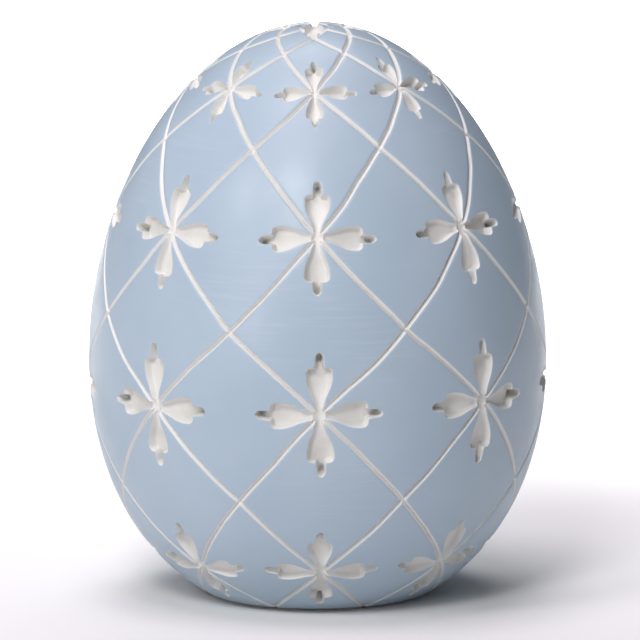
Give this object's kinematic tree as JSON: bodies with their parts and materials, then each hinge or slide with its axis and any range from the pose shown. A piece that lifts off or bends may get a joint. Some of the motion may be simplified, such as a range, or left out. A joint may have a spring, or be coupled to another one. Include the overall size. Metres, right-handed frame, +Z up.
{
  "type": "decorated egg",
  "caption": "Large standing ornamental egg, matt pale blue, engraved in white with a net of crossing spiral lines and rings of four-petalled flowers, on a flat felted foot",
  "frame": {"origin": "middle of the felt's underside, on the surface that the egg stands on", "axes": "+Z up along the egg's axis, -Y the front, facing the meridian of one flower of every ring, +X to the viewer's right"},
  "size_m": [0.1198, 0.1198, 0.1497],
  "materials": {
    "white_casting": "matt cast resin with mineral filler, off-white, greyer in the hollows",
    "blue_coat": "thin matt to satin pale blue paint, fine rubbing marks, paler at edges",
    "plug": "soft grey stopper",
    "felt": "short pressed wool felt"
  },
  "bodies": {
    "root": {"coat_row_00": "blue_coat", "coat_row_01": "blue_coat", "coat_row_02": "blue_coat", "coat_row_03": "blue_coat", "coat_row_04": "blue_coat", "coat_row_05": "blue_coat", "coat_row_06": "blue_coat", "coat_row_07": "blue_coat", "coat_row_08": "blue_coat", "coat_row_09": "blue_coat", "coat_row_10": "blue_coat", "foot_felt": "felt", "pour_hole_plug": "plug", "white_casting": "white_casting"}
  },
  "joints": []
}
